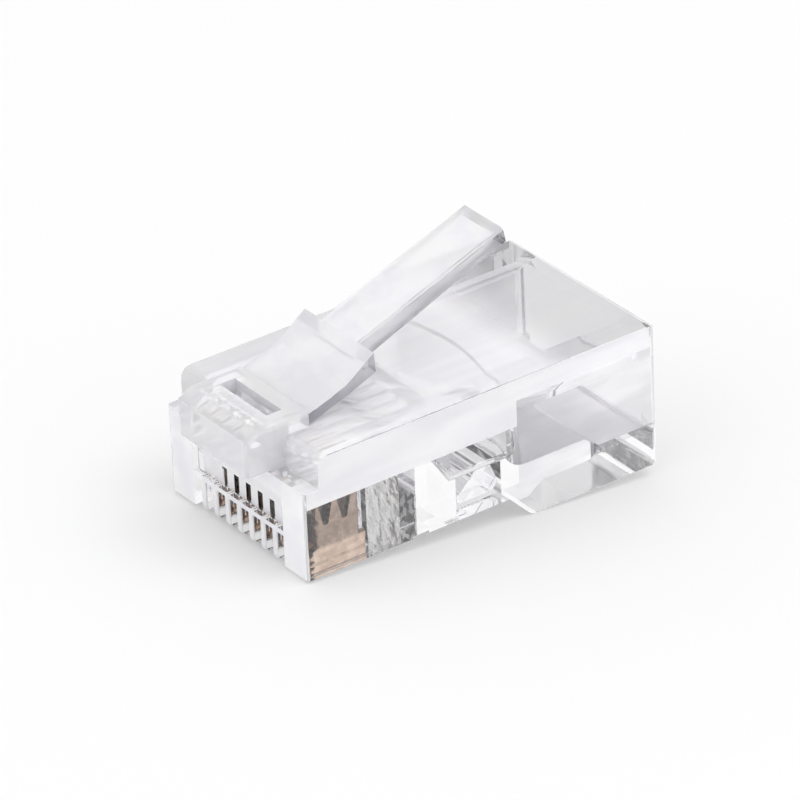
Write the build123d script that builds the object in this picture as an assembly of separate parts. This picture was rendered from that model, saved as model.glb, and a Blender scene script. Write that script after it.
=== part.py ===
from build123d import *
import math
import os

os.makedirs("parts", exist_ok=True)

# Eight-way modular plug, unshielded, before it is crimped on a cable.
# Millimetres. X is the width, Y runs from the nose to the cable end, Z is up.
# The origin is on the nose face, half way across, level with the underside
# of the cable end. The latch is on the top, the contacts are underneath.

# Overall sizes
WIDTH = 11.68
LENGTH = 21.70
HEIGHT = 8.0
NOSE_FLOOR = 1.38          # underside of the front section
BELLY_Y = 12.28            # where the front section meets the deeper cable end
BELLY_RUN = 1.36           # length of the sloping step between the two
BELLY_ROUND = 0.70         # lower corner of that step
LEDGE_DROP = 1.72          # shoulders beside the latch block, below the top face
LEDGE_Z = HEIGHT - LEDGE_DROP
LEDGE_DEPTH = 0.90
CORNER = 0.50              # outer corner radius of the cable end
NOSE_EDGE = 0.15           # upright front corners of the nose

# Latch block on the nose
BLOCK_HALF = 3.0
BLOCK_OUT = 1.32           # how far it overhangs the nose face
BLOCK_LIFT = 0.12          # its underside is this far above the shoulders
BLOCK_UNDER = LEDGE_Z + BLOCK_LIFT
BLOCK_RISE = 0.83
BLOCK_TOP = HEIGHT + BLOCK_RISE
BLOCK_LEAD_DROP = 0.41     # height of the lead-in slope
BLOCK_LEAD_Z = BLOCK_TOP - BLOCK_LEAD_DROP
BLOCK_LEAD_RUN = 0.79
BLOCK_ROUND = 0.32
BLOCK_ANCHOR = 0.5         # how far the block is sunk into the body
WELL_HALF = 2.0            # moulded well in the top of the block
WELL_Y0 = 0.66
WELL_Y1 = 1.57
WELL_DEPTH = 1.93
WELL_FLOOR = BLOCK_TOP - WELL_DEPTH

# Latch, side profile of its top face
ROOT_Y = 2.45
ROOT_RISE = 0.30           # centre of the bending root above the top face
ROOT_Z = HEIGHT + ROOT_RISE
ROOT_R = 0.27              # half the thickness at the bending root
ROOT_GAP = 0.03            # clearance round the root and beside it
CREASE_Y = 4.83
CREASE_RISE = 1.08
CREASE_Z = ROOT_Z + CREASE_RISE
SHOULDER_Y = 6.55
SHOULDER_RISE = 1.20
SHOULDER_Z = CREASE_Z + SHOULDER_RISE
TIP_Y = 15.51
TIP_RISE = 3.26
TIP_Z = SHOULDER_Z + TIP_RISE
LATCH_HALF = 2.92
TAB_HALF = 1.64
SHOULDER_DROP = 1.07       # height of the locking step
SHOULDER_LEAN = 0.06       # the step's face leans back by this much
CREASE_THICK = 0.56
TAB_THICK_ROOT = 1.15
TAB_THICK_TIP = 0.92
TAB_OVERLAP = 0.5          # tab joins the plate over this length
TAB_EDGE = 0.12            # bevel along the tab
TAB_END_LEAN = 0.18

# Contacts
WAYS = 8
PITCH = 1.016
BLADE = 0.35               # sheet thickness
BLADE_GAP = 0.03           # clearance each side in its slot
BLADE_Y0 = 0.88
BLADE_Y1 = 4.26
BLADE_Z0 = 1.15
BLADE_NOSE_R = 0.25        # rounded lower front corner, which the jack spring rides on
BLADE_HEEL_R = 0.12
FOOT_Z = 2.20              # top of the foot
STEM_IN = 0.44             # the stem is this much narrower than the foot at each end
BARB_Z = 3.42              # point of the barbs that grip the slot ends
BARB_OUT = 0.16
BARB_HIGH = 0.36
TINE_TOP = 4.60
TINE_BEVEL = 0.12
FORK_YS = (1.94, 3.06)     # the two forks between the three tines
FORK_Z = 3.40              # bottom of a fork
FORK_R = 0.17
FORK_MOUTH = 0.40          # half width of a fork at the tine tips
SLOT_REAR_GAP = 0.06
COMB_TOP = 4.42            # top of the slot mouths in the nose face
MOUTH_WIDTH = 0.606        # the jack springs enter the slots here
MOUTH_TOP = 3.10
MOUTH_REAR = 0.78          # the slots are wide in front of the blades
SPRING_WAY_Z = 1.95        # and below them
RECESS_Z0 = 3.38           # the comb is set back between these two heights
RECESS_Z1 = 5.30
RECESS = 0.33
TOE_ROUND = 0.35           # lower front corner of the ribs
RIB_ROUND = 0.11           # free edges of the ribs

# Wire channels
WIRE_Z = 5.12
WIRE_R = 0.54
WIRE_Y0 = 1.0
WIRE_Y1 = 8.35

# Cable cavity
THROAT_HALF = 4.25
THROAT_FLOOR = 3.1
THROAT_ROOF = 1.65
THROAT_TOP = HEIGHT - THROAT_ROOF
THROAT_Y0 = 9.3
THROAT_ROUND = 0.5
CAVITY_HALF = 4.95
CAVITY_FLOOR = 2.75
ROOF = 1.0                 # thickness of the wall over the cavity
CAVITY_TOP = HEIGHT - ROOF
CAVITY_CORNER = 1.1
CAVITY_Y = 13.25           # rearmost point of the curved front wall
CAVITY_BOW = 11.0
CAVITY_FOOT = 1.2          # round where the front wall meets the floor and the sides
SLOPE_Y0 = 17.3            # the floor slopes down to the sill of the mouth
SLOPE_Y1 = 18.2
SILL_Z = 2.1
SILL_ROUND = 0.7           # rounded rear edge of the sill
MOUTH_FLARE = 0.3          # the mouth widens by this much at the top and sides
MOUTH_DEPTH = 0.8

# Conductor bar, pushed straight in
CBAR_Y0 = 6.30
CBAR_Y1 = 7.30
CBAR_HALF = 3.80
CBAR_GAP = 0.04
CBAR_Z0 = 1.52
CBAR_Z1 = 3.35
CBAR_BEVEL = 0.28

# Jacket bar, hinged at its front edge
JBAR_PIN_Y = 10.05
JBAR_PIN_Z = 1.86
JBAR_PIN_R = 0.30
JBAR_END = 12.35
JBAR_HALF = 3.90
JBAR_GAP = 0.05
JBAR_TOP = 3.3
JBAR_FLAT = 0.6            # length of the flat that presses on the cable
JBAR_NOSE = 0.55           # slope from that flat down to the free end
JBAR_HEEL = 0.40           # bevel under the free end
JBAR_REAR_GAP = 0.12

CUT = 1.0                  # how far a cutting shape reaches past the faces it opens

HALF = WIDTH / 2


def prism(points, half):
    """Side profile given as (y, z) points, extruded to x = -half .. half."""
    face = make_face(Polyline(*[(0, y, z) for y, z in points], close=True))
    return extrude(face, amount=half, dir=(1, 0, 0), both=True)


def box(x0, x1, y0, y1, z0, z1):
    """Box between opposite corners."""
    centre = ((x0 + x1) / 2, (y0 + y1) / 2, (z0 + z1) / 2)
    return Pos(*centre) * Box(abs(x1 - x0), abs(y1 - y0), abs(z1 - z0))


def across(y, z, radius, half):
    """Cylinder along X through the point (y, z)."""
    return Pos(0, y, z) * Rot(0, 90, 0) * Cylinder(radius, 2 * half)


# Outer body
outline = [
    (0, NOSE_FLOOR),
    (BELLY_Y, NOSE_FLOOR),
    (BELLY_Y + BELLY_RUN, 0),
    (LENGTH, 0),
    (LENGTH, HEIGHT),
    (LEDGE_DEPTH, HEIGHT),
    (LEDGE_DEPTH, LEDGE_Z),
    (0, LEDGE_Z),
]
profile = make_face(Polyline(*[(0, y, z) for y, z in outline], close=True))
profile = fillet([v for v in profile.vertices() if v.Y > LENGTH - 0.01], CORNER)
belly_corner = [v for v in profile.vertices() if v.Z < 0.01 and v.Y < BELLY_Y + 2 * BELLY_RUN]
profile = fillet(belly_corner, BELLY_ROUND)
body = extrude(profile, amount=HALF, dir=(1, 0, 0), both=True)
plan = Pos(0, LENGTH / 2) * Rectangle(WIDTH, LENGTH)
plan = fillet([v for v in plan.vertices() if v.Y > LENGTH - 0.01], CORNER)
plan = fillet([v for v in plan.vertices() if v.Y < 0.01], NOSE_EDGE)
body = body & extrude(plan, amount=HEIGHT)

# Latch block with its lead-in slope and rounded upper side edges
block_outline = [
    (-BLOCK_OUT, BLOCK_UNDER),
    (-BLOCK_OUT, BLOCK_LEAD_Z),
    (-BLOCK_OUT + BLOCK_LEAD_RUN, BLOCK_TOP),
    (ROOT_Y, BLOCK_TOP),
    (ROOT_Y, HEIGHT - BLOCK_ANCHOR),
    (LEDGE_DEPTH + BLOCK_ANCHOR, LEDGE_Z - BLOCK_ANCHOR),
    (BLOCK_ANCHOR, LEDGE_Z - BLOCK_ANCHOR),
    (0, BLOCK_UNDER),
]
block = prism(block_outline, BLOCK_HALF)
block_sides = [
    e for e in block.edges()
    if abs(e.center().X) > BLOCK_HALF - 0.01
    and (e.center().Z > BLOCK_LEAD_Z or e.center().Y < -BLOCK_OUT + 0.01)
    and e.center().Y < ROOT_Y - 0.01
]
block = fillet(block_sides, BLOCK_ROUND)
body = body + block

# Bending root of the latch sits in a round seat in the back of the block
seat_half = LATCH_HALF + ROOT_GAP
seat_r = ROOT_R + ROOT_GAP
body = body - across(ROOT_Y, ROOT_Z, seat_r, seat_half)

# Moulded well in the block
body = body - box(-WELL_HALF, WELL_HALF, WELL_Y0, WELL_Y1, WELL_FLOOR, BLOCK_TOP + CUT)

# The middle of the nose face is set back above the contact slots
ways = [(i - (WAYS - 1) / 2) * PITCH for i in range(WAYS)]
mouth_half = MOUTH_WIDTH / 2
comb_half = ways[-1] + mouth_half
body = body - box(-comb_half, comb_half, -CUT, RECESS, RECESS_Z0, RECESS_Z1)

# Lower front corner of the ribs
toe_z = NOSE_FLOOR + TOE_ROUND
toe = box(-comb_half, comb_half, -CUT, TOE_ROUND, NOSE_FLOOR - CUT, toe_z)
body = body - (toe - across(TOE_ROUND, toe_z, TOE_ROUND, WIDTH))

# Contact slots: narrow for the blade, wide where the jack springs enter
slot_half = BLADE / 2 + BLADE_GAP
slot_end = BLADE_Y1 + SLOT_REAR_GAP
slot_floor = NOSE_FLOOR - CUT
for x in ways:
    body = body - box(x - slot_half, x + slot_half, RECESS, slot_end, slot_floor, COMB_TOP)
    body = body - box(x - slot_half, x + slot_half, WIRE_Y0, slot_end, slot_floor, WIRE_Z)
    body = body - box(x - mouth_half, x + mouth_half, -CUT, MOUTH_REAR, slot_floor, MOUTH_TOP)
    body = body - box(x - mouth_half, x + mouth_half, -CUT, slot_end, slot_floor, SPRING_WAY_Z)
rib_edges = [
    e for e in body.edges()
    if e.center().Z < MOUTH_TOP
    and e.center().Y < slot_end - 0.01
    and abs(e.center().X) < comb_half - 0.01
    and (
        abs(e.center().Z - NOSE_FLOOR) < 0.01 and abs((e % 0.5).Y) > 0.99
        or e.center().Y < TOE_ROUND and abs((e % 0.5).X) < 0.01 and e.length > TOE_ROUND
    )
]
body = fillet(rib_edges, RIB_ROUND)

# Wire channels run over the contacts, cusped where neighbours meet
wire_middle = (WIRE_Y0 + WIRE_Y1) / 2
channel = Rot(90, 0, 0) * Cylinder(WIRE_R, WIRE_Y1 - WIRE_Y0)
for x in ways:
    body = body - Pos(x, wire_middle, WIRE_Z) * channel

# Tapered lead from the cable throat down to the channels
throat_z = (THROAT_FLOOR + THROAT_TOP) / 2
throat_high = THROAT_TOP - THROAT_FLOOR
wires_half = ways[-1] + WIRE_R
lead_in = Plane.XZ.offset(-THROAT_Y0) * Pos(0, throat_z) * RectangleRounded(
    2 * THROAT_HALF, throat_high, THROAT_ROUND)
lead_out = Plane.XZ.offset(-WIRE_Y1) * Pos(0, WIRE_Z) * RectangleRounded(
    2 * wires_half, 2 * WIRE_R, THROAT_ROUND)
body = body - loft([lead_out, lead_in])

# Throat between the lead and the cable cavity
throat = box(-THROAT_HALF, THROAT_HALF, THROAT_Y0, CAVITY_Y, THROAT_FLOOR, THROAT_TOP)
throat = fillet(throat.edges().filter_by(Axis.Y), THROAT_ROUND)
body = body - throat

# Cable cavity: upper corners cut off, curved front wall, rounded at its foot
def cable_section(floor):
    """Section of the cavity at the cable end, with its floor at this height."""
    points = [
        (-CAVITY_HALF, floor),
        (CAVITY_HALF, floor),
        (CAVITY_HALF, CAVITY_TOP - CAVITY_CORNER),
        (CAVITY_HALF - CAVITY_CORNER, CAVITY_TOP),
        (-CAVITY_HALF + CAVITY_CORNER, CAVITY_TOP),
        (-CAVITY_HALF, CAVITY_TOP - CAVITY_CORNER),
    ]
    return make_face(Polyline(*[(x, LENGTH, z) for x, z in points], close=True))


cavity = extrude(cable_section(CAVITY_FLOOR), amount=LENGTH - THROAT_Y0, dir=(0, -1, 0))
front_wall = Pos(0, CAVITY_Y - CAVITY_BOW, HEIGHT / 2) * Cylinder(CAVITY_BOW, 2 * HEIGHT)
cavity = cavity - front_wall
foot_edges = [
    e for e in cavity.edges()
    if e.center().Y < CAVITY_Y + 0.01
    and e.bounding_box().max.Z < CAVITY_TOP - CAVITY_CORNER + 0.01
]
cavity = fillet(foot_edges, CAVITY_FOOT)
body = body - cavity

# The floor slopes down to a sill with a rounded rear edge
drop_outline = [
    (SLOPE_Y0, CAVITY_FLOOR + CUT),
    (SLOPE_Y0, CAVITY_FLOOR),
    (SLOPE_Y1, SILL_Z),
    (LENGTH, SILL_Z),
    (LENGTH, SILL_Z - CUT),
    (LENGTH + CUT, SILL_Z - CUT),
    (LENGTH + CUT, CAVITY_FLOOR + CUT),
]
drop = make_face(Polyline(*[(0, y, z) for y, z in drop_outline], close=True))
sill_corner = [v for v in drop.vertices() if abs(v.Y - LENGTH) < 0.01 and abs(v.Z - SILL_Z) < 0.01]
drop = fillet(sill_corner, SILL_ROUND)
body = body - extrude(drop, amount=CAVITY_HALF, dir=(1, 0, 0), both=True)

# Flared mouth, above the sill
mouth = cable_section(SILL_Z)
wide_mouth = offset(mouth, amount=MOUTH_FLARE, kind=Kind.INTERSECTION)
flare = loft([Pos(0, -MOUTH_DEPTH, 0) * mouth, wide_mouth])
body = body - (flare - box(-HALF, HALF, SLOPE_Y1, LENGTH + CUT, 0, SILL_Z))

# Pocket of the conductor bar, with a shallow groove across the underside
body = body - box(-CBAR_HALF, CBAR_HALF, CBAR_Y0, CBAR_Y1, slot_floor, WIRE_Z)
body = body - box(-HALF, HALF, CBAR_Y0, CBAR_Y1, slot_floor, CBAR_Z0)

# Pocket of the jacket bar, open to the throat above
pocket_y0 = JBAR_PIN_Y - JBAR_PIN_R - JBAR_GAP
pocket_y1 = JBAR_END + JBAR_REAR_GAP
pocket_top = THROAT_FLOOR + THROAT_ROUND
body = body - box(-JBAR_HALF, JBAR_HALF, pocket_y0, pocket_y1, slot_floor, pocket_top)

export_step(body.solid(), "parts/housing.step")


# Latch: spring plate, locking step and finger tab in one moulding
lift = math.atan2(CREASE_Z - ROOT_Z - ROOT_R, CREASE_Y - ROOT_Y)
root_y = ROOT_R * math.sin(lift)
root_z = ROOT_R * math.cos(lift)
plate_outline = [
    (ROOT_Y - root_y, ROOT_Z + root_z),
    (CREASE_Y, CREASE_Z),
    (SHOULDER_Y, SHOULDER_Z),
    (SHOULDER_Y + SHOULDER_LEAN, SHOULDER_Z - SHOULDER_DROP),
    (CREASE_Y + CREASE_THICK * math.sin(lift), CREASE_Z - CREASE_THICK * math.cos(lift)),
    (ROOT_Y + root_y, ROOT_Z - root_z),
]
latch = prism(plate_outline, LATCH_HALF) + across(ROOT_Y, ROOT_Z, ROOT_R, LATCH_HALF)
rise = math.atan2(TIP_Z - SHOULDER_Z, TIP_Y - SHOULDER_Y)
tab_outline = [
    (SHOULDER_Y - TAB_OVERLAP, SHOULDER_Z - SHOULDER_DROP / 2),
    (SHOULDER_Y, SHOULDER_Z),
    (TIP_Y, TIP_Z),
    (TIP_Y + TAB_END_LEAN, TIP_Z - TAB_THICK_TIP * math.cos(rise)),
    (TIP_Y, TIP_Z - TAB_THICK_TIP / math.cos(rise)),
    (SHOULDER_Y + SHOULDER_LEAN, SHOULDER_Z - TAB_THICK_ROOT / math.cos(rise)),
    (SHOULDER_Y - TAB_OVERLAP, SHOULDER_Z - SHOULDER_DROP),
]
tab = prism(tab_outline, TAB_HALF)
tab_edges = [
    e for e in tab.edges()
    if abs(e.center().X) > TAB_HALF - 0.01
    and SHOULDER_Y + CUT < e.center().Y < TIP_Y - CUT
]
tab = chamfer(tab_edges, TAB_EDGE)
latch = latch + tab
export_step(latch.solid(), "parts/latch.step")


# Contacts: stamped blades, a solid foot and a stem with three tines
foot = box(-BLADE / 2, BLADE / 2, BLADE_Y0, BLADE_Y1, BLADE_Z0, FOOT_Z)
foot_front = foot.edges().filter_by(Axis.X).group_by(Axis.Z)[0].sort_by(Axis.Y)
foot = fillet(foot_front[0], BLADE_NOSE_R)
foot_rear = foot.edges().filter_by(Axis.X).group_by(Axis.Z)[0].sort_by(Axis.Y)
foot = fillet(foot_rear[-1], BLADE_HEEL_R)
stem_y0 = BLADE_Y0 + STEM_IN
stem_y1 = BLADE_Y1 - STEM_IN
stem = box(-BLADE / 2, BLADE / 2, stem_y0, stem_y1, BLADE_Z0, TINE_TOP)
blade = foot + chamfer(stem.edges().filter_by(Axis.X).group_by(Axis.Z)[-1], TINE_BEVEL)
for y, out in ((stem_y0, -BARB_OUT), (stem_y1, BARB_OUT)):
    barb = [
        (y - out, BARB_Z - BARB_HIGH / 2),
        (y + out, BARB_Z),
        (y, BARB_Z + BARB_HIGH),
        (y - out, BARB_Z + BARB_HIGH),
    ]
    blade = blade + prism(barb, BLADE / 2)
for y in FORK_YS:
    fork = [
        (y - FORK_R, FORK_Z + FORK_R),
        (y + FORK_R, FORK_Z + FORK_R),
        (y + FORK_MOUTH, TINE_TOP),
        (y - FORK_MOUTH, TINE_TOP),
    ]
    blade = blade - across(y, FORK_Z + FORK_R, FORK_R, BLADE) - prism(fork, BLADE)
for number, x in enumerate(ways, 1):
    export_step(Pos(x, 0, 0) * blade.solid(), f"parts/contact_{number}.step")


# Conductor bar, its upper edges bevelled
conductor_bar = box(
    -CBAR_HALF + CBAR_GAP, CBAR_HALF - CBAR_GAP,
    CBAR_Y0 + CBAR_GAP, CBAR_Y1 - CBAR_GAP, CBAR_Z0, CBAR_Z1)
bar_top = conductor_bar.edges().filter_by(Axis.X).group_by(Axis.Z)[-1]
conductor_bar = chamfer(bar_top, CBAR_BEVEL)
export_step(conductor_bar, "parts/conductor_bar.step")


# Jacket bar: a wedge that swings up about the round of its front edge
jbar_floor = JBAR_PIN_Z - JBAR_PIN_R
jbar_outline = [
    (JBAR_PIN_Y, jbar_floor),
    (JBAR_END - JBAR_HEEL, jbar_floor),
    (JBAR_END, jbar_floor + JBAR_HEEL),
    (JBAR_END - JBAR_NOSE, JBAR_TOP),
    (JBAR_END - JBAR_NOSE - JBAR_FLAT, JBAR_TOP),
    (JBAR_PIN_Y, JBAR_PIN_Z + JBAR_PIN_R),
]
jbar_half = JBAR_HALF - JBAR_GAP
jacket_bar = prism(jbar_outline, jbar_half)
jacket_bar = jacket_bar + across(JBAR_PIN_Y, JBAR_PIN_Z, JBAR_PIN_R, jbar_half)
export_step(jacket_bar.solid(), "parts/jacket_bar.step")
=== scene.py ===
# %% [markdown]
# # A clear modular plug
#
# This scene dresses a small network plug: a moulded body of clear
# polycarbonate, a springy latch on top, and bronze contact blades in the comb
# at the nose. The solids come from the CAD model, which is loaded as a fixed
# frame. Blender adds what a lens sees: rounded moulded edges, the bending of
# light in the plastic, the stamped metal, a table and soft light.

# %% Load the frame
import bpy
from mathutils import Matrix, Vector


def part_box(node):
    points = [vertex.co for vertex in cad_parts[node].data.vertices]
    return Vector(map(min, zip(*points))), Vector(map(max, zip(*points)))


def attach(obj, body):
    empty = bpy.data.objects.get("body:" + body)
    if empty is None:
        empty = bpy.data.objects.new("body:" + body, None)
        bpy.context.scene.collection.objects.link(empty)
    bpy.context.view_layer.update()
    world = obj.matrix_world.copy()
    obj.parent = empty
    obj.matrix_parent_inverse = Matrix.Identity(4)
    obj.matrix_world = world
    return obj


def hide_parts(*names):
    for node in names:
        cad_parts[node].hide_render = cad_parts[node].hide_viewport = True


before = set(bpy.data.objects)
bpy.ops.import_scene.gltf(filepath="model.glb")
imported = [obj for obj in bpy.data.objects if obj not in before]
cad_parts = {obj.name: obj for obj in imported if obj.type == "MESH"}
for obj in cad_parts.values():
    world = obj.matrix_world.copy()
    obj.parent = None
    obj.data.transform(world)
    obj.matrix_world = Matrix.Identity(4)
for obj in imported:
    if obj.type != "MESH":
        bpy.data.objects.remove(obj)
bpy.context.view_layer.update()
print("CAD nodes:", sorted(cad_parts))

# %% Helpers from Blender
from math import atan2, cos, degrees, radians, sin
import bmesh
import bpy
from mathutils import Matrix, Vector
MM = 0.001

# %% [markdown]
# ## Camera
#
# The viewpoint is low on the right of the nose. A long lens from a third of a
# metre keeps the long edges almost parallel. The camera leans a little, so its
# right and up directions are turned about the line of sight. A small lens
# shift puts the plug where it sits in the picture without turning the camera.

# %% Place the camera
AZIMUTH, ELEVATION, LEAN = radians(55.16), radians(29.967), radians(-2.648)
DISTANCE = 348.828 * MM
LOOK_AT = Vector((0, 10.5 * MM, 4 * MM))
away = Vector((sin(AZIMUTH) * cos(ELEVATION), -cos(AZIMUTH) * cos(ELEVATION), sin(ELEVATION)))
level = Vector((cos(AZIMUTH), sin(AZIMUTH), 0))
upright = away.cross(level)
right = level * cos(LEAN) + upright * sin(LEAN)
up = upright * cos(LEAN) - level * sin(LEAN)
lens = bpy.data.cameras.new("plug_camera")
lens.lens = 314.4
lens.sensor_width = 36
lens.shift_x = -0.0117
lens.shift_y = 0.0254
lens.clip_start = 0.02
camera = bpy.data.objects.new("plug_camera", lens)
turn = Matrix((right, up, away)).transposed().to_4x4()
camera.matrix_world = Matrix.Translation(LOOK_AT + away * DISTANCE) @ turn
bpy.context.scene.collection.objects.link(camera)
bpy.context.scene.camera = camera
bpy.context.scene.view_settings.view_transform = "Standard"
print("camera at", [round(v / MM, 1) for v in camera.location])

# %% [markdown]
# ## The table
#
# An uncrimped plug does not lie flat. Its blades stick out of the comb, so it
# rests on the front corners of the blades and on the lower front corner of the
# deep cable end, a few degrees nose down. The frame keeps the body level, so
# here the table leans instead. Its slope follows from those two lines.

# %% Table top under the plug
BLADE_CORNER = 0.25 * MM
BELLY_Y = 13.8 * MM
GAP = 0.02 * MM
TABLE_HALF_WIDTH = 1.5
foot_low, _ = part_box("contact_4")
body_low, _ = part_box("housing")
toe = Vector((0, foot_low.y + BLADE_CORNER, foot_low.z))
slope = atan2(body_low.z - toe.z, BELLY_Y - toe.y)
table_mesh = bmesh.new()
bmesh.ops.create_grid(table_mesh, x_segments=1, y_segments=1, size=TABLE_HALF_WIDTH)
tilt = Matrix.Rotation(slope, 3, "X")
bmesh.ops.rotate(table_mesh, verts=table_mesh.verts, cent=(0, 0, 0), matrix=tilt)
bmesh.ops.translate(table_mesh, verts=table_mesh.verts, vec=toe - Vector((0, 0, GAP)))
table_data = bpy.data.meshes.new("table")
table_mesh.to_mesh(table_data)
table_mesh.free()
table = bpy.data.objects.new("table", table_data)
bpy.context.scene.collection.objects.link(table)
print("table slope in degrees:", round(degrees(slope), 2))

# %% [markdown]
# ## Shader nodes in short
#
# The finishes are drawn with the same few nodes: noise, a colour ramp, a
# mapped range, a little arithmetic and a bump. One short function for each of
# them keeps the finishes readable. A value that is another node's output is
# linked, and any other value is set on the socket.

# %% One function for each kind of node
def feed(tree, socket, value):
    if isinstance(value, bpy.types.NodeSocket):
        tree.links.new(value, socket)
    else:
        socket.default_value = value


def place_in_piece(tree, stretch=None):
    where = tree.nodes.new("ShaderNodeTexCoord").outputs["Object"]
    if stretch is None:
        return where
    mapping = tree.nodes.new("ShaderNodeMapping")
    feed(tree, mapping.inputs["Vector"], where)
    feed(tree, mapping.inputs["Scale"], stretch)
    return mapping.outputs["Vector"]


def split(tree, vector):
    parts = tree.nodes.new("ShaderNodeSeparateXYZ")
    feed(tree, parts.inputs["Vector"], vector)
    return parts.outputs


def noise(tree, vector, scale, detail=2.0):
    pattern = tree.nodes.new("ShaderNodeTexNoise")
    feed(tree, pattern.inputs["Vector"], vector)
    feed(tree, pattern.inputs["Scale"], scale)
    feed(tree, pattern.inputs["Detail"], detail)
    return pattern.outputs["Fac"]


def ramp(tree, value, places, colours, interpolation="LINEAR"):
    blend = tree.nodes.new("ShaderNodeValToRGB")
    blend.color_ramp.interpolation = interpolation
    for element, position, colour in zip(blend.color_ramp.elements, places, colours):
        element.position = position
        element.color = (*colour, 1)
    feed(tree, blend.inputs["Fac"], value)
    return blend.outputs["Color"]


def mapped(tree, value, source, target, interpolation="LINEAR"):
    change = tree.nodes.new("ShaderNodeMapRange")
    change.interpolation_type = interpolation
    feed(tree, change.inputs["Value"], value)
    feed(tree, change.inputs["From Min"], source[0])
    feed(tree, change.inputs["From Max"], source[1])
    feed(tree, change.inputs["To Min"], target[0])
    feed(tree, change.inputs["To Max"], target[1])
    return change.outputs["Result"]


def reckon(tree, operation, *values):
    step = tree.nodes.new("ShaderNodeMath")
    step.operation = operation
    for socket, value in zip(step.inputs, values):
        feed(tree, socket, value)
    return step.outputs["Value"]


def scaled(tree, colour, factor):
    product = tree.nodes.new("ShaderNodeVectorMath")
    product.operation = "SCALE"
    feed(tree, product.inputs[0], colour)
    feed(tree, product.inputs["Scale"], factor)
    return product.outputs["Vector"]


def bump(tree, height, strength, depth):
    relief = tree.nodes.new("ShaderNodeBump")
    feed(tree, relief.inputs["Height"], height)
    feed(tree, relief.inputs["Strength"], strength)
    feed(tree, relief.inputs["Distance"], depth)
    return relief.outputs["Normal"]


def finish(name):
    material = bpy.data.materials.new(name)
    material.use_nodes = True
    tree = material.node_tree
    print("finish:", name)
    return material, tree, tree.nodes["Principled BSDF"].inputs


# %% [markdown]
# ## Finishes of the plastic
#
# The plastic is clear polycarbonate, and a Principled shader with transmission
# bends light as it does, with an index of about 1.585. The mould and the
# cutting give it several surfaces:
#
# - polished: the lower side walls, most of the inside and the jacket bar
# - satin: the nose, its block and ledges, the latch and the cavity's floor,
#   which scatter some light
# - milky: the upper band of the side walls and the ribs of the comb
# - flow-marked: the top, milky over the nose, clearer over the cavity and darkened there with
#   painted shade
# - shaded: clear, with painted shade greying it, on the side walls of the cable
#   end, the slope under it and the latch's sides
# - torn: the rough wall in front of the wire bar, and the bar, crumpled, with
#   painted shade in black patches
# - cut: the ends of the sill and of the latch, rough, with painted shade in black patches
# - rim: the thin rounds along the edges, broken lines with painted shade in the dark parts
#
# All of them have faint flow marks, because melted plastic never sets quite
# evenly. A noise pattern draws them. It sets the colour and the roughness, and
# on torn and cut faces the relief too. On torn, cut and rim faces the same noise
# also paints black patches into the colour, which is painted shade.

# %% Clear plastic, from polished to torn
PLASTIC_INDEX = 1.585
FLOW_DETAIL = 3
FLOW_SPAN = (0.2, 0.8)
CRUMPLE_DEPTH = 0.25 * MM
CAVITY_FADE = (14 * MM, 18 * MM)


def plastic(name, clearness, roughness, dark, light,
            scale=380, spread=0.2, stretch=(1, 1, 1), crumple=0.0, over_cavity=None):
    material, tree, inputs = finish(name)
    flow = noise(tree, place_in_piece(tree, stretch), scale, FLOW_DETAIL)
    colour = ramp(tree, flow, (0.5 - spread, 0.5 + spread), (dark, light), "EASE")
    # Over the cavity the colour is darkened as well: painted shade for the grey seen through the
    # top into the hollow.
    if over_cavity:
        rear_clearness, rear_painted_shade = over_cavity
        along = split(tree, place_in_piece(tree))["Y"]
        clearness = mapped(tree, along, CAVITY_FADE, (clearness, rear_clearness), "SMOOTHSTEP")
        painted_cavity_shade = mapped(tree, along, CAVITY_FADE, (1.0, rear_painted_shade), "SMOOTHSTEP")
        colour = scaled(tree, colour, painted_cavity_shade)
    if crumple:
        feed(tree, inputs["Normal"], bump(tree, flow, crumple, CRUMPLE_DEPTH))
    feed(tree, inputs["Base Color"], colour)
    feed(tree, inputs["Transmission Weight"], clearness)
    feed(tree, inputs["IOR"], PLASTIC_INDEX)
    feed(tree, inputs["Roughness"], mapped(tree, flow, FLOW_SPAN, roughness))
    return material


polished = plastic(
    "polished_polycarbonate", clearness=1.0, roughness=(0.0, 0.02),
    dark=(0.985, 0.98, 0.995), light=(1.0, 0.998, 1.0))
satin = plastic(
    "satin_polycarbonate", clearness=0.48, roughness=(0.05, 0.11),
    dark=(0.95, 0.945, 0.985), light=(1.0, 0.995, 1.0), scale=600, spread=0.1)
milky = plastic(
    "milky_polycarbonate", clearness=0.18, roughness=(0.3, 0.42),
    dark=(0.91, 0.905, 0.95), light=(0.99, 0.985, 1.0), scale=500, spread=0.12,
    stretch=(1.0, 0.2, 1.0))
# Black in this colour is painted shade: the dark crumples that clear plastic shows by bending
# light.
torn_and_shaded = plastic(
    "torn_painted_shade_polycarbonate", clearness=0.45, roughness=(0.0, 0.04),
    dark=(0.0, 0.0, 0.0), light=(0.8, 0.8, 0.82), scale=2400, spread=0.03,
    stretch=(0.35, 1.0, 0.7), crumple=0.8)
# Black in this colour is painted shade, as on the torn faces.
cut_and_shaded = plastic(
    "cut_painted_shade_polycarbonate", clearness=0.25, roughness=(0.0, 0.04),
    dark=(0.0, 0.0, 0.0), light=(0.5, 0.5, 0.52), scale=2000, spread=0.06,
    stretch=(0.35, 1.0, 0.7), crumple=0.6)
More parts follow.
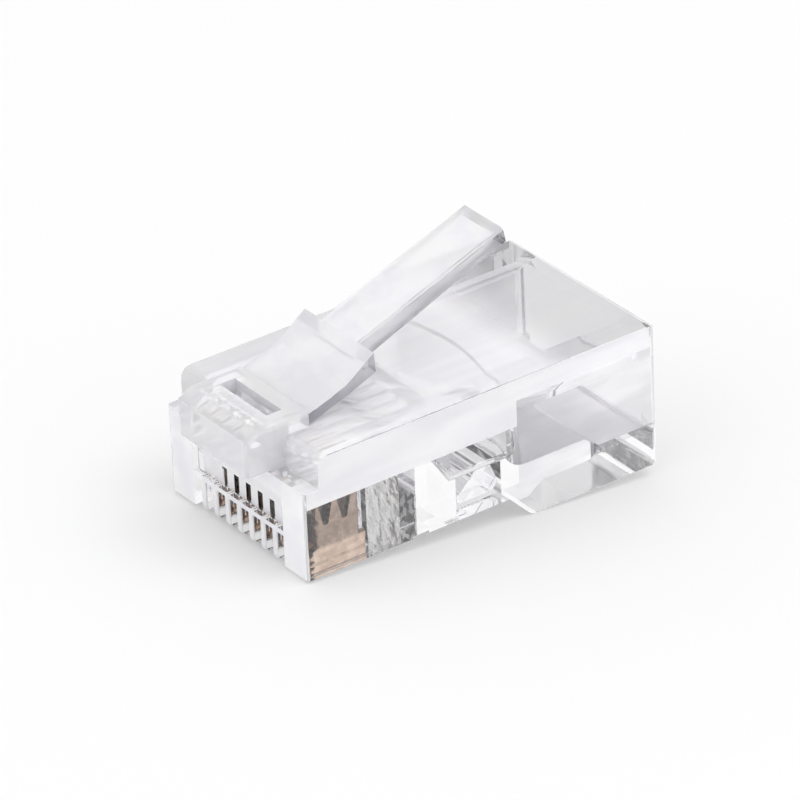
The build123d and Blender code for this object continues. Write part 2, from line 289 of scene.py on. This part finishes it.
# Over the cavity the top's colour falls to 0.55 of itself: painted shade.
flowed = plastic(
    "flow_marked_polycarbonate", clearness=0.45, roughness=(0.02, 0.05),
    dark=(0.945, 0.935, 0.985), light=(1.0, 0.99, 1.0), scale=700, spread=0.13,
    stretch=(1.5, 0.12, 1.0), over_cavity=(0.95, 0.55))
# Clear plastic greyed in its colour: painted shade for the darker views through the cable end's
# walls, the slope and the latch's sides.
painted_shade_clear = plastic(
    "painted_shade_polycarbonate", clearness=1.0, roughness=(0.0, 0.02),
    dark=(0.68, 0.67, 0.71), light=(0.95, 0.94, 0.98), scale=500, spread=0.15,
    stretch=(1.0, 0.25, 1.0))
# Near-black patches in this colour are painted shade: the dark lines along the rounded edges.
rim_painted_shade = plastic(
    "rim_painted_shade_polycarbonate", clearness=0.5, roughness=(0.0, 0.02),
    dark=(0.01, 0.01, 0.012), light=(0.95, 0.95, 0.96), scale=420, spread=0.1)

# %% [markdown]
# ## Finishes of the metal
#
# The blades are stamped from phosphor bronze. The flat sides are warm, with
# the faint lengthwise lines of rolled sheet, and the colour drifts a little
# towards pink and brown where the metal has begun to tarnish. The foot is
# painted lighter than the tines, a painted sheen, and painted shade with a
# ragged edge darkens the front of the blades, inside the comb. The sheared
# front edge is painted dark all over, painted shade too.

# %% Stamped bronze
ROLLED_SCALE, PATCH_SCALE = 9000, 2200
FOOT_TOP = (2.1 * MM, 2.3 * MM)
FOOT_PAINTED_SHEEN = 1.6
SLOT_SHADE_EDGE = (1.55 * MM, 1.7 * MM)
SLOT_SHADE_LEVEL = 0.05
SLOT_SHADE_RAGGED = 0.9 * MM
SLOT_SHADE_SHIFT = 0.7 * MM
LINE_STRENGTH, LINE_DEPTH = 0.05, 0.01 * MM
bronze, tree, inputs = finish("phosphor_bronze")
place = place_in_piece(tree)
rolled = noise(tree, place_in_piece(tree, (1, 0.15, 1)), ROLLED_SCALE, FLOW_DETAIL)
patches = noise(tree, place, PATCH_SCALE)
hue = ramp(tree, patches, (0.35, 0.65), ((0.34, 0.25, 0.19), (0.49, 0.385, 0.31)))
position = split(tree, place)
# Below the top of the foot the colour is raised by 1.6: a painted sheen.
painted_foot_sheen = mapped(tree, position["Z"], FOOT_TOP, (FOOT_PAINTED_SHEEN, 1.0))
# Towards the front the colour falls to 0.05 along a ragged edge: painted shade on the blades inside
# the comb.
ragged = reckon(tree, "MULTIPLY_ADD", patches, -SLOT_SHADE_RAGGED, position["Y"])
shifted = reckon(tree, "MULTIPLY_ADD", painted_foot_sheen, SLOT_SHADE_SHIFT, ragged)
painted_slot_shade = mapped(tree, shifted, SLOT_SHADE_EDGE, (SLOT_SHADE_LEVEL, 1.0))
feed(tree, inputs["Base Color"], scaled(tree, hue, reckon(tree, "MULTIPLY", painted_slot_shade, painted_foot_sheen)))
feed(tree, inputs["Metallic"], 1.0)
feed(tree, inputs["Roughness"], mapped(tree, rolled, (0.0, 1.0), (0.2, 0.26)))
feed(tree, inputs["Normal"], bump(tree, rolled, LINE_STRENGTH, LINE_DEPTH))

# %% Painted shade on the blades' sheared front edges
GRAIN_SCALE = 5000
sheared_and_shaded, tree, inputs = finish("sheared_painted_shade_bronze")
grain = noise(tree, place_in_piece(tree), GRAIN_SCALE)
# Near-black colour on the front faces: painted shade.
painted_front_shade = ramp(tree, grain, (0.4, 0.7), ((0.02, 0.016, 0.013), (0.2, 0.15, 0.12)))
feed(tree, inputs["Base Color"], painted_front_shade)
feed(tree, inputs["Metallic"], 1.0)
feed(tree, inputs["Roughness"], 0.35)

# %% [markdown]
# ## Moulded pieces with rounded edges
#
# No moulded edge is perfectly sharp. A small round catches a line of light, and
# in clear plastic it also shows as a thin dark line, which is what draws the
# plug's outline. The CAD mesh is loose triangles, so each piece starts from a
# merged copy of it, and its flat faces are joined up again. A few long edges
# get a wide round, some faces are cut in two where the finish changes, and a
# Bevel modifier rounds what is left. Its rounds keep the finish of the faces
# beside them, unless a finish is named for them.

# %% Copy a node as one clean mesh
MERGE = 0.002 * MM
FLAT = radians(1)
SHARP = radians(25)
BESIDE = -1


def merged_copy(node):
    shape = bmesh.new()
    shape.from_mesh(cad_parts[node].data)
    bmesh.ops.remove_doubles(shape, verts=shape.verts, dist=MERGE)
    bmesh.ops.dissolve_limit(
        shape, angle_limit=FLAT, verts=shape.verts, edges=shape.edges,
        use_dissolve_boundaries=False)
    return shape


def round_edges(shape, chosen, width, steps):
    edges = []
    for edge in shape.edges:
        start, end = (vert.co / MM for vert in edge.verts)
        if chosen((start + end) / 2, (end - start).normalized()):
            edges.append(edge)
    bmesh.ops.bevel(
        shape, geom=edges, offset=width * MM, segments=steps, profile=0.5, affect="EDGES",
        clamp_overlap=True)
    print("rounded edges:", len(edges))


def divide_faces(shape, chosen, point, direction):
    faces = [face for face in shape.faces if chosen(face.calc_center_median() / MM, face.normal)]
    edges = {edge for face in faces for edge in face.edges}
    verts = {vert for face in faces for vert in face.verts}
    bmesh.ops.bisect_plane(
        shape, geom=[*faces, *edges, *verts], plane_co=Vector(point) * MM, plane_no=direction)


def moulded(node, name, body, materials, round_mm,
            which=None, rounds=(), splits=(), edge_finish=BESIDE):
    shape = merged_copy(node)
    for chosen, width, steps in rounds:
        round_edges(shape, chosen, width, steps)
    for chosen, point, direction in splits:
        divide_faces(shape, chosen, point, direction)
    if which:
        for face in shape.faces:
            face.material_index = which(face.calc_center_median() / MM, face.normal)
    data = bpy.data.meshes.new(name)
    shape.to_mesh(data)
    shape.free()
    for material in materials:
        data.materials.append(material)
    piece = bpy.data.objects.new(name, data)
    bpy.context.scene.collection.objects.link(piece)
    rounding = piece.modifiers.new("rounding", "BEVEL")
    rounding.width = round_mm * MM
    rounding.segments = 2
    rounding.limit_method = "ANGLE"
    rounding.angle_limit = SHARP
    rounding.material = edge_finish
    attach(piece, body)
    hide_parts(node)
    print(name, "faces:", len(data.polygons))


# %% [markdown]
# ## Where each finish goes
#
# The functions below say which face gets which finish, from the middle of the
# face in millimetres and its normal. Others pick out the long edges, from the
# middle of the edge and its direction. +Y runs from the nose to the cable end,
# +X to the right and +Z up. Each wide round below has a width in millimetres
# and a number of steps.

# %% Places on the body, in millimetres
SIDE_X, TOP_Z, REAR_Y = 5.8, 7.98, 21.6
LEDGE_X, LEDGE_Y, LEDGE_Z = 3.0, 0.90, 6.28
LEDGE_LOW_Z, LEDGE_HIGH_Z = 6.0, 7.9
LEDGE_FRONT_Y, LEDGE_BACK_Y = 2.0, 3.0
BAND_Z, FRONT_BAND_Z, SILL_Z = 6.8, 5.35, 2.1
CABLE_END_Y = 12.9
CAVITY_X, CAVITY_Y, CAVITY_FLOOR_Z = 5.0, 13.0, 3.0
SLOPE_Y, SLOPE_Z = (12.0, 15.0), 1.4
POCKET_WALL_Y = (6.2, 6.4)
BLOCK_X, BLOCK_Y, BLOCK_Z = 3.05, 2.6, 6.3
NOSE_Y, COMB_X, COMB_Z = 1.0, 4.0, 5.4
TIP_Y = 15.3
CLOSE = 0.02

# %% How far a direction leans towards an axis
ALONG, MOSTLY, HALF, PARTLY, BARELY = 0.99, 0.9, 0.5, 0.3, 0.02


def side(centre, normal):
    return abs(normal.x) > ALONG and abs(centre.x) > SIDE_X


def top(centre, normal):
    return normal.z > ALONG and centre.z > TOP_Z


def rear(centre, normal):
    return normal.y > ALONG and centre.y > REAR_Y


def ledge_edge(middle, along):
    across = abs(along.x) > ALONG and abs(middle.x) > LEDGE_X
    return across and middle.z > TOP_Z and abs(middle.y - LEDGE_Y) < CLOSE


def long_edge(middle, along):
    return abs(along.y) > ALONG and middle.z > TOP_Z and abs(middle.x) > SIDE_X


def nose_edge(middle, along):
    return abs(along.x) > ALONG and abs(middle.y) < CLOSE and abs(middle.z - LEDGE_Z) < CLOSE


# %% Which face gets which finish
finishes = [polished, satin, milky, torn_and_shaded, cut_and_shaded, flowed, painted_shade_clear, rim_painted_shade]
POLISHED, SATIN, MILKY, TORN_AND_SHADED, CUT_AND_SHADED, FLOWED, PAINTED_SHADE_CLEAR, RIM_PAINTED_SHADE = range(len(finishes))
ROLLED, SHEARED_AND_SHADED = 0, 1


def on_ledge(centre, normal):
    front = normal.y < -BARELY and centre.z > LEDGE_LOW_Z and centre.y < LEDGE_FRONT_Y
    floor = normal.z > PARTLY and LEDGE_LOW_Z < centre.z < LEDGE_HIGH_Z and centre.y < LEDGE_BACK_Y
    return front or floor


def in_cavity(centre, normal):
    inside = centre.y > CAVITY_Y and abs(centre.x) < CAVITY_X
    floor = normal.z > HALF and centre.z < CAVITY_FLOOR_Z
    left_wall = normal.x > MOSTLY
    return inside and (floor or left_wall)


def body_finish(centre, normal):
    on_block = centre.y < BLOCK_Y and centre.z > BLOCK_Z and abs(centre.x) < BLOCK_X
    on_nose = normal.y < -PARTLY and centre.y < NOSE_Y
    on_ribs = on_nose and abs(centre.x) < COMB_X and centre.z < COMB_Z
    on_side = side(centre, normal)
    on_band = on_side and (centre.z > BAND_Z or centre.z > FRONT_BAND_Z and centre.y < CABLE_END_Y)
    on_slope = normal.y < -PARTLY and SLOPE_Y[0] < centre.y < SLOPE_Y[1] and centre.z < SLOPE_Z
    # Painted shade: the wall in front of the wire bar gets black patches in its colour.
    if abs(normal.y) > ALONG and POCKET_WALL_Y[0] < centre.y < POCKET_WALL_Y[1]:
        return TORN_AND_SHADED
    # Painted shade: the sill's cut end gets black patches in its colour.
    if rear(centre, normal) and centre.z < SILL_Z:
        return CUT_AND_SHADED
    if on_band or on_ribs:
        return MILKY
    if on_block or on_nose or on_ledge(centre, normal) or in_cavity(centre, normal):
        return SATIN
    if top(centre, normal):
        return FLOWED
    # Painted shade: the slope and the cable end's upper side walls get the greyed clear finish.
    if on_slope or on_side and centre.y > CABLE_END_Y and centre.z > SILL_Z:
        return PAINTED_SHADE_CLEAR
    return POLISHED


def latch_finish(centre, normal):
    # Painted shade: the latch's cut end gets black patches in its colour.
    if normal.y > HALF and centre.y > TIP_Y:
        return CUT_AND_SHADED
    # Painted shade: the latch's sides get the greyed clear finish.
    if abs(normal.x) > MOSTLY:
        return PAINTED_SHADE_CLEAR
    if centre.y > TIP_Y:
        return POLISHED
    return SATIN


def blade_finish(centre, normal):
    facing_front = normal.y < -PARTLY
    # Front faces get the near-black finish, painted shade.
    return SHEARED_AND_SHADED if facing_front else ROLLED


# %% The clear moulding and its moving parts
rounds = [(ledge_edge, 0.6, 5), (long_edge, 0.2, 3), (nose_edge, 0.15, 3)]
splits = [
    (side, (0, 0, FRONT_BAND_Z), (0, 0, 1)),
    (side, (0, 0, BAND_Z), (0, 0, 1)),
    (side, (0, 0, SILL_Z), (0, 0, 1)),
    (side, (0, CABLE_END_Y, 0), (0, 1, 0)),
    (rear, (0, 0, SILL_Z), (0, 0, 1)),
]
# The rounds of the body and of the latch take the rim finish, with painted shade in its dark
# patches.
moulded(
    "housing", "clear_body", "plug", finishes, round_mm=0.07,
    which=body_finish, rounds=rounds, splits=splits, edge_finish=RIM_PAINTED_SHADE)
moulded(
    "latch", "sprung_latch", "latch", finishes, round_mm=0.07,
    which=latch_finish, edge_finish=RIM_PAINTED_SHADE)
# The wire bar is crumpled, with painted shade in black patches.
moulded("conductor_bar", "wire_bar", "conductor_bar", [torn_and_shaded], round_mm=0.05)
moulded("jacket_bar", "cable_bar", "jacket_bar", [polished], round_mm=0.05)

# %% The eight blades
BLADES = 8
for number in range(1, BLADES + 1):
    node = f"contact_{number}"
    moulded(
        node, f"blade_{number}", node, [bronze, sheared_and_shaded], round_mm=0.03,
        which=blade_finish)

# %% [markdown]
# ## Light
#
# Clear things are lit by what stands around them. A bright sky all round gives
# the plastic its white. One dark patch stands behind the camera, and its
# reflections give the plastic its grey lines. A key lamp from above lays a
# soft shadow, and a weaker lamp in front fills the nose. Light crosses many
# walls on its way through a hollow clear body, so the paths are long.

# %% Soft studio around the plug
cycles = bpy.context.scene.cycles
cycles.max_bounces = 48
cycles.transmission_bounces = 48
cycles.glossy_bounces = 48
cycles.diffuse_bounces = 12
PATCH_EDGE = (0.92, 0.985)
world = bpy.data.worlds.new("studio")
world.use_nodes = True
bpy.context.scene.world = world
tree = world.node_tree
facing = tree.nodes.new("ShaderNodeVectorMath")
facing.operation = "DOT_PRODUCT"
feed(tree, facing.inputs[0], tree.nodes.new("ShaderNodeTexCoord").outputs["Generated"])
feed(tree, facing.inputs[1], away)
sky = ramp(tree, facing.outputs["Value"], PATCH_EDGE, ((1.0, 1.0, 1.0), (0.05, 0.05, 0.06)), "EASE")
feed(tree, tree.nodes["Background"].inputs["Color"], sky)
feed(tree, tree.nodes["Background"].inputs["Strength"], 1.0)
print("world ready")

# %% [markdown]
# The table is plain white paper, and it takes the plug's shadow. Part of it is
# the evenly lit white sweep that a product picture is taken on: less of it
# where the camera sees the table, more of it where light paths reach the table
# through the plastic or off the metal.

# %% Table finish
SWEEP_SEEN, SWEEP_THROUGH = 0.3, 0.65
pale, tree, inputs = finish("pale_table")
feed(tree, inputs["Base Color"], (0.865, 0.865, 0.865, 1))
feed(tree, inputs["Roughness"], 0.9)
glow = tree.nodes.new("ShaderNodeEmission")
feed(tree, glow.inputs["Color"], (0.99, 0.99, 0.99, 1))
path = tree.nodes.new("ShaderNodeLightPath").outputs
through = reckon(tree, "MAXIMUM", path["Is Transmission Ray"], path["Is Glossy Ray"])
seen = reckon(tree, "MULTIPLY", path["Is Camera Ray"], SWEEP_SEEN)
sweep = tree.nodes.new("ShaderNodeMixShader")
feed(tree, sweep.inputs["Fac"], reckon(tree, "MULTIPLY_ADD", through, SWEEP_THROUGH, seen))
feed(tree, sweep.inputs[1], tree.nodes["Principled BSDF"].outputs["BSDF"])
feed(tree, sweep.inputs[2], glow.outputs["Emission"])
feed(tree, tree.nodes["Material Output"].inputs["Surface"], sweep.outputs["Shader"])
table.data.materials.append(pale)

# %% Two broad lamps
def broad_lamp(name, place, size, energy):
    data = bpy.data.lights.new(name, "AREA")
    data.shape = "DISK"
    data.size = size
    data.energy = energy
    lamp = bpy.data.objects.new(name, data)
    lamp.location = place
    lamp.rotation_mode = "QUATERNION"
    lamp.rotation_quaternion = Vector(place).to_track_quat("Z", "Y")
    bpy.context.scene.collection.objects.link(lamp)
    print("lamp ready:", name)


broad_lamp("key_lamp", place=(0.25, 0.35, 0.6), size=0.5, energy=1.0)
broad_lamp("fill_lamp", place=(0.1, -0.5, 0.3), size=0.6, energy=0.5)
